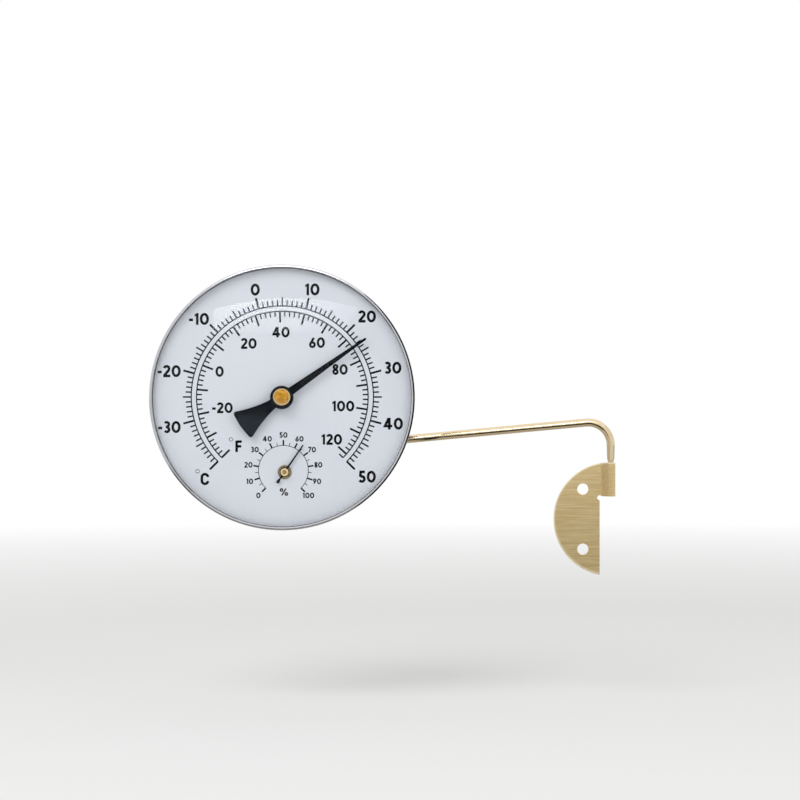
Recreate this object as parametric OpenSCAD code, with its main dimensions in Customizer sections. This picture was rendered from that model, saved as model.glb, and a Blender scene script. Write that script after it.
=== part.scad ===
// Garden thermometer with a small hygrometer in one round dial.
// The dial case swivels on the end of a bent brass rod, and the rod swivels on a wall plate.
// Z is up and the dial faces -Y. The origin is midway between the wall plate's screw holes,
// on the face that lies on the wall. Millimetres.

/* [Dial case] */
// Diameter over the bezel ring
case_d = 127; // [110:1:150]
// Depth from the back of the case to the front of the bezel
case_depth = 23; // [21:0.5:30]
// Thickness of the pressed steel sheet of the case
case_sheet = 1; // [0.7:0.1:1.2]
// Height of the lens's dome over the bezel
dome_h = 9; // [8:0.5:14]
// Thickness of the lens
lens_t = 2; // [1.6:0.2:2.4]
// Number of vent holes round the back
vent_count = 24; // [8:2:30]
// Diameter of one vent hole
vent_d = 4; // [2:0.5:4]

/* [Readings at rest] */
// Temperature that the large pointer shows, in degrees Celsius
rest_celsius = 23.3; // [-40:0.1:50]
// Humidity that the small pointer shows, in percent
rest_humidity = 62.7; // [0:0.1:100]

/* [Thermometer] */
// Length of the large pointer from its pivot to its tip
pointer_l = 49; // [40:0.5:50]
// Radius of the pointer's flared tail
tail_r = 24.2; // [18:0.2:25]
// Width of the blade beside the hub
blade_w = 4.1; // [3:0.1:5]
// Turns of the bimetal coil
coil_turns = 6; // [4:1:6]

/* [Hygrometer] */
// Distance of the small pivot below the large one
hygro_drop = 35.6; // [32:0.1:36]
// Distance of the small pivot to the right of the large one
hygro_shift = 1.2; // [-2:0.1:2]
// Length of the small pointer from its pivot to its tip
needle_l = 15.8; // [12:0.2:17]
// Turns of the humidity coil
hygro_turns = 4; // [3:1:5]

/* [Arm] */
// Distance between the two swivel axes
reach = 159.4; // [140:0.2:200]
// Fall of the rod from the wall towards the dial, in degrees
slope = 5.3; // [0:0.1:6]
// Diameter of the rod
rod_d = 4; // [3.6:0.1:4]
// Bend radius at the middle of the rod
bend_r = 11; // [8:0.5:14]
// Straight length between a bend and its shoulder
leg_l = 7.2; // [4:0.1:10]
// Height of the dial's centre over the rod, measured at the dial's axis
dial_rise = 25.9; // [22:0.1:26]

/* [Hinge plates] */
// Radius of the half-moon plates
plate_r = 27.8; // [25:0.1:30]
// Thickness of the brass sheet
plate_t = 1; // [0.8:0.1:1]
// Distance from the swivel axis to the screw holes
hole_inset = 13.5; // [12:0.5:15]
// Distance between the two screw holes
hole_spacing = 29.4; // [26:0.2:30]
// Diameter of a screw hole
hole_d = 5.5; // [4.5:0.1:5.8]
// Length of the rolled knuckle
knuckle_l = 16.6; // [14:0.2:20]
// Diameter of the turned pin at each end of the rod
pin_d = 2.4; // [2:0.1:2.4]

/* [Hidden] */
$fn = 96;

// Both scales run through 270 degrees, from lower left over the top to lower right.
scale_sweep = 270;
scale_start = 225;
pointer_angle = scale_start - (rest_celsius + 40) / 90 * scale_sweep;
needle_angle = scale_start - rest_humidity / 100 * scale_sweep;

// A turning fit between a pin or spindle and its bore, on the radius
running_fit = 0.05;
// End play left between a shoulder and what it rides on
end_play = 0.1;
// Overlap that lets a cutting tool pass clear of a face
cut = 1;

// Hinge plates: the knuckle is rolled round the pin from the front, over a short ramp.
bore_r = pin_d / 2 + running_fit;
knuckle_r = bore_r + plate_t;
axis_off = knuckle_r + 0.05;
ramp_angle = 45;
ramp_bend_r = 2;
ramp_rise = axis_off - plate_t + knuckle_r * cos(ramp_angle) - ramp_bend_r * (1 - cos(ramp_angle));
ramp_x = -(knuckle_r + ramp_bend_r) * sin(ramp_angle) - ramp_rise / tan(ramp_angle);
roll_end_angle = -150;
// The ramp and the roll lap over each other, with the ramp a hair inside the roll's skin
roll_lap_angle = 6;
roll_lead_angle = 3;
skin = 0.03;
plate_chamfer = 0.25;
relief_r = 1.2;

// Arm: both ends are bent upright, down into the wall plate and up into the case plate.
turn = 90 + slope;
setback = bend_r * tan(turn / 2);
run_l = reach / cos(slope) - 2 * setback;
shoulder_d = rod_d * 0.88;
neck_d = pin_d + 0.5;
neck_l = 1.2;
// The pin stops short of the knuckle's far end
pin_l = knuckle_l - 0.6;
pin_tip = 0.4;
// A bend swells the rod by a hair, and the straight stretches lap into it
straight_r = rod_d / 2 - 0.02;
bend_lap = 0.3;
wall_shoulder_z = plate_r + end_play + neck_l;
run_at_wall_z = wall_shoulder_z + leg_l + setback;
run_at_dial_z = run_at_wall_z - reach * tan(slope);
dial_shoulder_z = run_at_dial_z + setback + leg_l;

// Places of the two swivel axes and of the dial
axis_x = hole_inset;
axis_y = -axis_off;
dial_x = axis_x - reach;
dial_z = run_at_dial_z + dial_rise;
case_back_y = axis_y - axis_off;
case_plate_z = dial_shoulder_z + neck_l + end_play + plate_r;

// Case profile, as radius and depth from the back of the case
bezel_r = case_d / 2;
bezel_wall = 0.6;
collar_r = bezel_r - bezel_wall - 0.1;
body_r = collar_r - 2;
corner_r = 5;
lip_w = 1.6;
lip_t = 1.2;
lens_seat = case_depth - lip_t - lens_t;
gasket_t = 0.8;
gasket_w = 1.05;
dial_t = 0.8;
dial_front = lens_seat - gasket_t;
dial_back = dial_front - dial_t;
ledge_back = dial_back - case_sheet;
lens_r = collar_r - 0.1;
dome_r = bezel_r - lip_w - 0.2;
dome_sphere_r = (dome_r * dome_r + dome_h * dome_h) / (2 * dome_h);
vent_ring_r = body_r - corner_r - vent_d / 2 - 0.7;

// Rivets of the case plate
rivet_r = hole_d / 2;
rivet_head_r = 4.6;
rivet_head_h = 1.4;
rivet_tail_r = 4.2;
rivet_tail_h = 0.9;

// Thermometer movement, as depths from the back of the case
spindle_r = 1;
frame_t = 1;
frame_front = dial_back - frame_t;
frame_rear = frame_front - 12.2;
frame_leg_y = 16;
frame_disc_r = 8;
frame_w = 9;
frame_bend_r = 2;
bush_bore_r = spindle_r + running_fit;
coil_t = 0.7;
coil_w = 5;
coil_back = frame_front - 8.2;
coil_start_r = 2.9;
collet_r = 2.2;
coil_end_r = frame_leg_y - coil_t / 2;
coil_tab = 4.2;
pointer_back = dial_front + 3;
pointer_t = 0.5;
boss_r = 5.6;
boss_h = 1.7;
cap_r = 4.1;
cap_h = 1.15;
spindle_end = pointer_back + pointer_t + boss_h - 0.3;

// Hygrometer movement
small_spindle_r = 0.6;
small_frame_t = 0.8;
small_front = dial_back - small_frame_t;
small_rear = small_front - 8.4;
small_leg_y = 10;
small_disc_r = 5;
small_frame_w = 6;
small_bend_r = 1.6;
small_bore_r = small_spindle_r + running_fit;
small_coil_t = 0.5;
small_coil_w = 3.6;
small_coil_back = small_front - 5.8;
small_coil_start_r = 2;
small_collet_r = 1.4;
small_coil_end_r = small_leg_y - small_coil_t / 2;
small_coil_tab = 2.8;
needle_back = dial_front + 1.2;
needle_t = 0.3;
needle_hub_r = 2.25;
button_r = 1.9;
button_h = 0.9;
small_spindle_end = needle_back + needle_t + button_h + 0.15;

brass = "#c8ae78";
bright_brass = "#d9a347";
steel = "#b9bcc2";
black = "#16181d";

// Points of an arc, for profiles
function arc(centre, r, from, to, steps) =
    [for (i = [0:steps]) let (a = from + (to - from) * i / steps) centre + r * [cos(a), sin(a)]];

// One side of a flat spiral, from its inner end to its outer end at 90 degrees
function spiral_side(r_in, r_out, turns, shift) =
    let (steps = turns * 24)
    [for (i = [0:steps])
        let (a = 90 - 360 * turns * (1 - i / steps), r = r_in + (r_out - r_in) * i / steps + shift)
        r * [cos(a), sin(a)]];

// A point of the roll in section, some degrees on from where the ramp meets it
function on_knuckle(r, on) =
    let (a = 90 + ramp_angle - on) [r * cos(a), axis_off + r * sin(a)];

function reversed(list) = [for (i = [len(list) - 1:-1:0]) list[i]];

// Places its children in the case: x to the right, y up, z forward from the case's back
module in_case() {
    translate([dial_x, case_back_y, dial_z]) rotate([90, 0, 0]) children();
}

// The same frame, moved to the hygrometer's pivot
module in_hygrometer() {
    in_case() translate([hygro_shift, -hygro_drop, 0]) children();
}

// A turned piece: the profile is a list of radius and depth
module turned(profile) {
    rotate_extrude() polygon(profile);
}

// Flat strip wound into a spiral, with a straight tab at its outer end
module wound_strip(r_in, r_out, turns, thickness, tab, width) {
    outer = spiral_side(r_in, r_out, turns, thickness / 2);
    inner = spiral_side(r_in, r_out, turns, -thickness / 2);
    tab_end = [[-tab, r_out + thickness / 2], [-tab, r_out - thickness / 2]];
    linear_extrude(width) polygon(concat(outer, tab_end, reversed(inner)));
}

// Bracket bent from flat strip: two discs joined by a leg, holding a spindle between them
module bent_bracket(rear, front, thickness, leg_y, disc_r, strap_w, bend) {
    outer_y = leg_y + thickness;
    top = front + thickness;
    inner_bend = bend - thickness;
    profile = concat(
        [[-disc_r, rear]], arc([outer_y - bend, rear + bend], bend, -90, 0, 5),
        arc([outer_y - bend, top - bend], bend, 0, 90, 5),
        [[-disc_r, top], [-disc_r, front]],
        arc([leg_y - inner_bend, top - bend], inner_bend, 90, 0, 5),
        arc([leg_y - inner_bend, rear + bend], inner_bend, 0, -90, 5),
        [[-disc_r, rear + thickness]]
    );
    intersection() {
        rotate([90, 0, 90]) linear_extrude(2 * disc_r, center = true) polygon(profile);
        union() {
            translate([0, 0, rear - cut]) cylinder(r = disc_r, h = top - rear + 2 * cut);
            translate([-strap_w / 2, 0, rear - cut]) cube([strap_w, outer_y + cut, top - rear + 2 * cut]);
        }
    }
}

// Half-moon plate with a knuckle rolled at the upper end of its straight edge.
// x = 0 is the swivel axis, z = 0 is the middle, and the flat face lies on y = 0.
module hinge_plate() {
    knuckle_z = plate_r - knuckle_l;
    // The arc's edge is broken from just short of the ramp to the lower end of the straight edge.
    first = 91 + asin(-ramp_x / plate_r);
    over = 0.2;
    color(brass) difference() {
        intersection() {
            union() {
                // flat and ramp in one section, as tall as the plate
                translate([0, 0, -plate_r]) linear_extrude(2 * plate_r) mirror([0, 1]) polygon(concat(
                    [[-plate_r - cut, 0]],
                    arc([ramp_x, plate_t + ramp_bend_r], ramp_bend_r + plate_t, -90, -90 + ramp_angle, 5),
                    [on_knuckle(bore_r + skin, 0), on_knuckle(bore_r + skin, roll_lap_angle),
                     on_knuckle(knuckle_r - skin, roll_lap_angle), on_knuckle(knuckle_r - skin, 0)],
                    arc([ramp_x, plate_t + ramp_bend_r], ramp_bend_r, -90 + ramp_angle, -90, 5),
                    [[-plate_r - cut, plate_t]]
                ));
                // roll round the pin
                translate([0, -axis_off, knuckle_z])
                    rotate([0, 0, -90 - ramp_angle - roll_lead_angle])
                        rotate_extrude(angle = 90 + ramp_angle + roll_lead_angle - roll_end_angle)
                            translate([bore_r, 0]) square([plate_t, knuckle_l]);
            }
            translate([0, cut, 0]) rotate([90, 0, 0]) cylinder(r = plate_r, h = 2 * knuckle_r + 2 * cut);
        }
        // the straight edge is cut back below the knuckle
        translate([ramp_x, -plate_r, knuckle_z - 2 * plate_r]) cube(2 * plate_r);
        // broken edge of the arc
        rotate([90, 0, 0]) rotate([0, 0, first]) rotate_extrude(angle = 270 - first) polygon([
            [plate_r - plate_chamfer - over, plate_t + over],
            [plate_r + over, plate_t - plate_chamfer - over], [plate_r + over, plate_t + over]
        ]);
        // screw holes, with their front edge broken
        for (side = [-1, 1])
            translate([-hole_inset, 0, side * hole_spacing / 2]) rotate([90, 0, 0]) {
                translate([0, 0, -cut]) cylinder(d = hole_d, h = plate_t + 2 * cut);
                translate([0, 0, plate_t - plate_chamfer])
                    cylinder(d1 = hole_d, d2 = hole_d + 4 * plate_chamfer, h = 2 * plate_chamfer);
            }
        // round relief in the corner under the knuckle
        translate([ramp_x, cut, knuckle_z - relief_r * 0.6])
            rotate([90, 0, 0]) cylinder(r = relief_r, h = plate_t + 2 * cut, $fn = 32);
    }
}

// Plate that is screwed to the wall
module wall_plate() {
    translate([axis_x, 0, 0]) hinge_plate();
}

// The same stamping, turned over end for end, on the back of the case
module case_plate() {
    translate([dial_x, case_back_y, case_plate_z]) rotate([180, 0, 0]) hinge_plate();
}

// One bend of the rod, from straight up towards -X
module rod_bend() {
    translate([-bend_r, 0, 0]) rotate([90, 0, 0])
        rotate_extrude(angle = turn) translate([bend_r, 0]) circle(d = rod_d, $fn = 48);
}

// Moves its children to the far end of that bend
module after_bend() {
    translate([-bend_r, 0, 0]) rotate([0, -turn, 0]) translate([bend_r, 0, 0]) children();
}

// Upright end of the rod below the bend at z = 0: leg, shoulder, neck and pin
module rod_end() {
    pin_start = leg_l + neck_l;
    pin_end = pin_start + pin_l;
    rotate([180, 0, 0]) turned([
        [0, -bend_lap], [straight_r, -bend_lap], [straight_r, 0], [shoulder_d / 2, leg_l],
        [neck_d / 2, leg_l], [neck_d / 2, pin_start], [pin_d / 2, pin_start],
        [pin_d / 2, pin_end - pin_tip], [pin_d / 2 - pin_tip, pin_end], [0, pin_end]
    ]);
}

// Rod with its two bends and its turned ends
module arm_rod() {
    color(brass) translate([axis_x, axis_y, wall_shoulder_z + leg_l]) {
        rod_end();
        rod_bend();
        after_bend() {
            translate([0, 0, -bend_lap]) cylinder(r = straight_r, h = run_l + 2 * bend_lap, $fn = 48);
            translate([0, 0, run_l]) mirror([1, 0, 0]) {
                rod_bend();
                after_bend() rotate([180, 0, 0]) rod_end();
            }
        }
    }
}

// Two domed rivets that hold the case plate to the case
module case_rivets() {
    shank_back = -plate_t;
    color(steel) in_case() for (side = [-1, 1])
        translate([-hole_inset, case_plate_z - dial_z + side * hole_spacing / 2, 0]) {
            turned([
                [0, shank_back - rivet_head_h], [rivet_head_r * 0.45, shank_back - rivet_head_h],
                [rivet_head_r * 0.8, shank_back - rivet_head_h * 0.7],
                [rivet_head_r, shank_back - rivet_head_h * 0.2], [rivet_head_r, shank_back],
                [rivet_r, shank_back], [rivet_r, case_sheet], [rivet_tail_r, case_sheet],
                [rivet_tail_r - 0.4, case_sheet + rivet_tail_h], [0, case_sheet + rivet_tail_h]
            ]);
        }
}

// Pressed cup with a ledge for the dial, a collar for the bezel and a ring of vents
module case_cup() {
    color(steel) in_case() difference() {
        turned(concat(
            [[0, 0]], arc([body_r - corner_r, corner_r], corner_r, -90, 0, 8),
            [[body_r, ledge_back], [collar_r, ledge_back], [collar_r, dial_front],
             [collar_r - case_sheet, dial_front], [collar_r - case_sheet, dial_back],
             [body_r - case_sheet, dial_back]],
            arc([body_r - corner_r, corner_r], corner_r - case_sheet, 0, -90, 8),
            [[0, case_sheet]]
        ));
        for (i = [0:vent_count - 1])
            rotate([0, 0, 360 * (i + 0.5) / vent_count]) translate([vent_ring_r, 0, -cut])
                cylinder(d = vent_d, h = case_sheet + 2 * cut, $fn = 32);
        for (side = [-1, 1])
            translate([-hole_inset, case_plate_z - dial_z + side * hole_spacing / 2, -cut])
                cylinder(r = rivet_r, h = case_sheet + 2 * cut);
    }
}

// Rolled ring that clamps the lens, with its rear edge closed behind the collar
module bezel_ring() {
    inner_r = bezel_r - bezel_wall;
    crimp_t = 0.9;
    front_round = 0.8;
    lip_round = 0.45;
    color(steel) in_case() turned(concat(
        [[body_r + 0.2, ledge_back - crimp_t]],
        arc([bezel_r - front_round, ledge_back - crimp_t + front_round], front_round, -90, 0, 5),
        arc([bezel_r - front_round, case_depth - front_round], front_round, 0, 90, 6),
        arc([bezel_r - lip_w + lip_round, case_depth - lip_round], lip_round, 90, 180, 4),
        [[bezel_r - lip_w, case_depth - lip_t], [inner_r, case_depth - lip_t],
         [inner_r, ledge_back], [body_r + 0.2, ledge_back]]
    ));
}

// Domed glass lens with a flat rim under the bezel
module lens() {
    centre_z = case_depth + dome_h - lip_t - dome_sphere_r;
    color([0.85, 0.92, 0.95, 0.3]) in_case() difference() {
        union() {
            translate([0, 0, lens_seat]) cylinder(r = lens_r, h = lens_t);
            intersection() {
                translate([0, 0, centre_z]) sphere(r = dome_sphere_r, $fn = 180);
                translate([0, 0, lens_seat]) cylinder(r = lens_r - 0.4, h = dome_h + lens_t + cut);
            }
        }
        translate([0, 0, centre_z]) sphere(r = dome_sphere_r - lens_t, $fn = 180);
    }
}

// Flat seal between the dial and the lens
module lens_gasket() {
    inner_r = lens_r - gasket_w;
    color(black) in_case()
        turned([[inner_r, dial_front], [lens_r, dial_front], [lens_r, lens_seat], [inner_r, lens_seat]]);
}

// White dial plate with a hole for each bushing
module dial_plate() {
    color("#e4e7ec") in_case() difference() {
        translate([0, 0, dial_back]) cylinder(r = collar_r - case_sheet - 0.1, h = dial_t);
        translate([0, 0, dial_back - cut]) cylinder(r = 3, h = dial_t + 2 * cut);
        translate([hygro_shift, -hygro_drop, dial_back - cut]) cylinder(r = 2, h = dial_t + 2 * cut);
    }
}

// Flanged bushing, clinched through the dial and the bracket behind it
module thermometer_bushing() {
    color(bright_brass) in_case() turned([
        [bush_bore_r, frame_front - 0.9], [4, frame_front - 0.9], [4, frame_front], [3, frame_front],
        [3, dial_front], [4.2, dial_front], [4.2, dial_front + 0.5], [bush_bore_r, dial_front + 0.5]
    ]);
}

// Bent steel bracket that carries the rear bush and the coil's outer end
module thermometer_frame() {
    color(steel) in_case() difference() {
        bent_bracket(frame_rear, frame_front, frame_t, frame_leg_y, frame_disc_r, frame_w, frame_bend_r);
        translate([0, 0, frame_front - cut]) cylinder(r = 3, h = frame_t + 2 * cut);
        translate([0, 0, frame_rear - cut]) cylinder(r = 1.8, h = frame_t + 2 * cut);
        coil_rivet_hole(-coil_tab / 2, frame_leg_y - cut, coil_back + coil_w / 2, 0.8, frame_t + 2 * cut);
    }
}

// Round hole along y, for the rivet that joins a coil to its bracket
module coil_rivet_hole(x, y, z, r, length) {
    translate([x, y, z]) rotate([-90, 0, 0]) cylinder(r = r, h = length, $fn = 32);
}

// Blind brass bush that carries the rear end of the spindle
module thermometer_rear_bush() {
    blind = frame_rear - 0.3;
    color(bright_brass) in_case() turned([
        [0, frame_rear - 0.9], [2.6, frame_rear - 0.9], [2.6, frame_rear], [1.8, frame_rear],
        [1.8, frame_rear + frame_t], [2.4, frame_rear + frame_t], [2.4, frame_rear + frame_t + 0.6],
        [bush_bore_r, frame_rear + frame_t + 0.6], [bush_bore_r, blind], [0, blind]
    ]);
}

// Bimetal strip that winds and unwinds with the temperature
module thermometer_coil() {
    color("#b98a5a") in_case() difference() {
        translate([0, 0, coil_back])
            wound_strip(coil_start_r, coil_end_r, coil_turns, coil_t, coil_tab, coil_w);
        coil_rivet_hole(-coil_tab / 2, frame_leg_y - coil_t - 0.4, coil_back + coil_w / 2, 0.8, coil_t + 1);
    }
}

// Small rivet along y through a coil's tab and its bracket
module strip_rivet(shank_r, head_r, head_h, from_y, to_y) {
    rotate([-90, 0, 0]) turned([
        [0, from_y - head_h], [head_r, from_y - head_h], [head_r, from_y], [shank_r, from_y],
        [shank_r, to_y], [head_r, to_y], [head_r, to_y + head_h], [0, to_y + head_h]
    ]);
}

// Rivet at the outer end of the bimetal strip
module thermometer_coil_rivet() {
    color(steel) in_case() translate([-coil_tab / 2, 0, coil_back + coil_w / 2])
        strip_rivet(0.8, 1.5, 0.5, frame_leg_y - coil_t, frame_leg_y + frame_t);
}

// Spindle with the collet that stands inside the bimetal coil
module thermometer_spindle() {
    color(steel) in_case() turned([
        [0, frame_rear], [spindle_r, frame_rear], [spindle_r, coil_back - 1],
        [collet_r, coil_back - 1], [collet_r, coil_back + coil_w + 1], [spindle_r, coil_back + coil_w + 1],
        [spindle_r, spindle_end], [0, spindle_end]
    ]);
}

// Outline of the large pointer along +X: tapered blade, round tip and flared tail
module pointer_outline() {
    tip_r = 0.55;
    waist = 2.3;
    start_x = -4;
    corner = tail_r * [-cos(17.2), sin(17.2)];
    corner_round = 1.2;
    edge_normal = 73;
    flare_end = corner + [corner_round, 0];
    round_centre = flare_end - corner_round * [cos(edge_normal), sin(edge_normal)];
    end_bow = 0.9;
    flare = [for (i = [0:7])
        let (t = i / 8, x = start_x + (flare_end[0] - start_x) * t)
        [x, waist + (flare_end[1] - waist) * pow(t, 1.6)]];
    half = concat(
        arc([pointer_l - tip_r, 0], tip_r, 0, 90, 4), [[0, blade_w / 2]], flare,
        arc(round_centre, corner_round, edge_normal, 165, 4),
        [[corner[0] - end_bow * 0.7, corner[1] * 0.5], [corner[0] - end_bow, 0]]
    );
    polygon(concat(half, [for (p = reversed(half)) if (p[1] > 0) [p[0], -p[1]]]));
}

// Large black pointer, pressed on the neck of its boss
module thermometer_pointer() {
    color(black) in_case() difference() {
        rotate([0, 0, pointer_angle]) translate([0, 0, pointer_back]) union() {
            linear_extrude(pointer_t) pointer_outline();
            cylinder(r = boss_r - 0.6, h = pointer_t);
        }
        translate([0, 0, pointer_back - cut]) cylinder(r = 1.6, h = pointer_t + 2 * cut, $fn = 48);
    }
}

// Glossy black boss over the pointer, with a neck that sits on the spindle
module thermometer_boss() {
    front = pointer_back + pointer_t;
    color(black) in_case() turned(concat(
        [[spindle_r, dial_front + 1.1], [1.6, dial_front + 1.1], [1.6, front], [boss_r - 0.3, front],
         [boss_r, front + 0.3]],
        arc([boss_r - 0.7, front + boss_h - 0.7], 0.7, 0, 90, 5),
        [[0, front + boss_h], [0, spindle_end], [spindle_r, spindle_end]]
    ));
}

// Domed brass cap in the middle of the boss
module thermometer_cap() {
    seat = pointer_back + pointer_t + boss_h;
    rim_w = 0.55;
    rim_h = 0.7;
    dome_edge = cap_r - rim_w - 0.15;
    color(bright_brass) in_case() turned(concat(
        [[0, seat], [cap_r, seat], [cap_r, seat + rim_h - 0.2], [cap_r - 0.2, seat + rim_h],
         [cap_r - rim_w, seat + rim_h], [dome_edge, seat + rim_h - 0.25]],
        [for (i = [1:6]) let (r = dome_edge * (1 - i / 6))
            [r, seat + rim_h - 0.25 + (cap_h - rim_h + 0.25) * (1 - pow(r / dome_edge, 2))]]
    ));
}

// Brass bushing of the hygrometer; its broad flange shows round the small pointer's hub
module hygrometer_bushing() {
    color(bright_brass) in_hygrometer() turned([
        [small_bore_r, small_front - 0.7], [2.7, small_front - 0.7], [2.7, small_front], [2, small_front],
        [2, dial_front], [3.25, dial_front], [3.25, dial_front + 0.5], [2.85, dial_front + 0.8],
        [small_bore_r, dial_front + 0.8]
    ]);
}

// Bent steel bracket of the hygrometer; its leg points down, away from the thermometer
module hygrometer_frame() {
    color(steel) in_hygrometer() rotate([0, 0, 180]) difference() {
        bent_bracket(
            small_rear, small_front, small_frame_t, small_leg_y, small_disc_r, small_frame_w, small_bend_r
        );
        translate([0, 0, small_front - cut]) cylinder(r = 2, h = small_frame_t + 2 * cut, $fn = 48);
        translate([0, 0, small_rear - cut]) cylinder(r = 1.2, h = small_frame_t + 2 * cut, $fn = 48);
        coil_rivet_hole(
            -small_coil_tab / 2, small_leg_y - cut, small_coil_back + small_coil_w / 2,
            0.5, small_frame_t + 2 * cut
        );
    }
}

// Blind brass bush behind the hygrometer's spindle
module hygrometer_rear_bush() {
    blind = small_rear - 0.2;
    color(bright_brass) in_hygrometer() turned([
        [0, small_rear - 0.7], [1.9, small_rear - 0.7], [1.9, small_rear], [1.2, small_rear],
        [1.2, small_rear + small_frame_t], [1.7, small_rear + small_frame_t],
        [1.7, small_rear + small_frame_t + 0.5], [small_bore_r, small_rear + small_frame_t + 0.5],
        [small_bore_r, blind], [0, blind]
    ]);
}

// Strip that coils and uncoils with the moisture of the air
module hygrometer_coil() {
    color("#a9a089") in_hygrometer() rotate([0, 0, 180]) difference() {
        translate([0, 0, small_coil_back])
            wound_strip(
                small_coil_start_r, small_coil_end_r, hygro_turns, small_coil_t,
                small_coil_tab, small_coil_w
            );
        coil_rivet_hole(
            -small_coil_tab / 2, small_leg_y - small_coil_t - 0.4, small_coil_back + small_coil_w / 2,
            0.5, small_coil_t + 1
        );
    }
}

// Rivet at the outer end of the humidity strip
module hygrometer_coil_rivet() {
    color(steel) in_hygrometer() rotate([0, 0, 180])
        translate([-small_coil_tab / 2, 0, small_coil_back + small_coil_w / 2])
            strip_rivet(0.5, 1, 0.4, small_leg_y - small_coil_t, small_leg_y + small_frame_t);
}

// Spindle of the hygrometer, with its collet inside the coil
module hygrometer_spindle() {
    color(bright_brass) in_hygrometer() turned([
        [0, small_rear], [small_spindle_r, small_rear], [small_spindle_r, small_coil_back - 0.6],
        [small_collet_r, small_coil_back - 0.6], [small_collet_r, small_coil_back + small_coil_w + 0.6],
        [small_spindle_r, small_coil_back + small_coil_w + 0.6],
        [small_spindle_r, small_spindle_end], [0, small_spindle_end]
    ]);
}

// Outline of the small pointer along +X: thin needle and teardrop tail
module needle_outline() {
    tail_l = 6.4;
    drop_r = 0.8;
    half = concat(
        [[needle_l, 0], [needle_l - 0.3, 0.3], [0, 0.5], [-tail_l + 2.6, 0.35]],
        arc([-tail_l + drop_r, 0], drop_r, 70, 150, 3),
        [[-tail_l, 0]]
    );
    polygon(concat(half, [for (p = reversed(half)) if (p[1] > 0) [p[0], -p[1]]]));
}

// Small black pointer with its hub disc
module hygrometer_pointer() {
    color(black) in_hygrometer() difference() {
        rotate([0, 0, needle_angle]) translate([0, 0, needle_back]) union() {
            linear_extrude(needle_t) needle_outline();
            cylinder(r = needle_hub_r, h = needle_t, $fn = 48);
        }
        translate([0, 0, needle_back - cut])
            cylinder(r = small_spindle_r, h = needle_t + 2 * cut, $fn = 48);
    }
}

// Bright brass button that holds the small pointer on its spindle
module hygrometer_button() {
    seat = needle_back + needle_t;
    color(bright_brass) in_hygrometer() turned(concat(
        [[small_spindle_r, seat], [button_r, seat]],
        arc([button_r - 0.3, seat + button_h - 0.3], 0.3, 0, 90, 4),
        [[small_spindle_r + 0.4, seat + button_h], [small_spindle_r, seat + button_h - 0.2]]
    ));
}

wall_plate();
arm_rod();
case_plate();
case_rivets();
case_cup();
bezel_ring();
lens();
lens_gasket();
dial_plate();
thermometer_bushing();
thermometer_frame();
thermometer_rear_bush();
thermometer_coil();
thermometer_coil_rivet();
thermometer_spindle();
thermometer_pointer();
thermometer_boss();
thermometer_cap();
hygrometer_bushing();
hygrometer_frame();
hygrometer_rear_bush();
hygrometer_coil();
hygrometer_coil_rivet();
hygrometer_spindle();
hygrometer_pointer();
hygrometer_button();
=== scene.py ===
# %% [markdown]
# # A garden thermometer in its finishes
# The construction of this thermometer comes from a CAD model, and this lesson dresses it.
# Each part keeps its shape and its place. What is added here is what CAD leaves out: the print
# on the dial, the grain of the brass, the polish of the bezel, the glass and the light.
# Lengths are in metres, and in millimetres where it says so. +Z is up and the dial faces -Y.

# %% Load the frame
from math import cos, pi, radians, sin

import bmesh
import bpy
from mathutils import Matrix, Vector


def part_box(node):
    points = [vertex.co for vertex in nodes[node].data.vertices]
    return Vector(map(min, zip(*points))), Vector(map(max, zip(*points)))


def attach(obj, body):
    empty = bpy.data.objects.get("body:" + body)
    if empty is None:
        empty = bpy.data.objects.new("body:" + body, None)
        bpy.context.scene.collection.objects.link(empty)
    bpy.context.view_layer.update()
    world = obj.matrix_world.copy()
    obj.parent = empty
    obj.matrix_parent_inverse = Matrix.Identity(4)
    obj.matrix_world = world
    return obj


MM = 0.001

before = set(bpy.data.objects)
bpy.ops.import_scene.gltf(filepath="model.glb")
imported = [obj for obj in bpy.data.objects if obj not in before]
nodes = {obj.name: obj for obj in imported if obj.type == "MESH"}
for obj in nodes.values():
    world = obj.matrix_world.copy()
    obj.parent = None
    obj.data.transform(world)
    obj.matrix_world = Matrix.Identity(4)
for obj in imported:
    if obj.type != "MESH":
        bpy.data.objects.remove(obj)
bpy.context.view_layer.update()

# %% [markdown]
# ## Where things are
# The print lies on the dial's front face, and lathe marks run round the pins of both hands.
# These places could be typed in as numbers. Here they are read from the CAD parts, so the print
# stays on the dial, and the marks stay round their pins, if these move.

# %% Measure the dial


def middle(node):
    """Centre of a CAD part's box."""
    low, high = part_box(node)
    return (low + high) / 2


thermometer_centre = middle("thermometer_bushing")
hygrometer_centre = middle("hygrometer_bushing")
dial_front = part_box("dial_plate")[0].y
print("dial centre in mm:", [round(v / MM, 1) for v in thermometer_centre])

# %% [markdown]
# ## Colours and nodes
# Colours are written as the hex codes that a paint card would give, which are sRGB. Blender's
# shaders want linear light, so one function turns them. Each node could be made and linked in
# lines of its own, but a tree would fill a page. So a second small function adds any shader or
# geometry node, with its settings and its links. Most sockets go by name or in their order. A
# Mix node has several of one name, so they go by number: 0 is the factor, 6 and 7 are the two
# colours, and output 2 is the colour that results.

# %% Helpers for colours and nodes


def colour(code):
    """Turns a hex code such as #c8b186 into a linear RGBA value."""
    levels = [int(code[i:i + 2], 16) / 255 for i in (1, 3, 5)]
    # The numbers are the curve of sRGB, which is a straight line near black.
    return tuple(v / 12.92 if v <= 0.04045 else ((v + 0.055) / 1.055) ** 2.4 for v in levels) + (1.0,)


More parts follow.
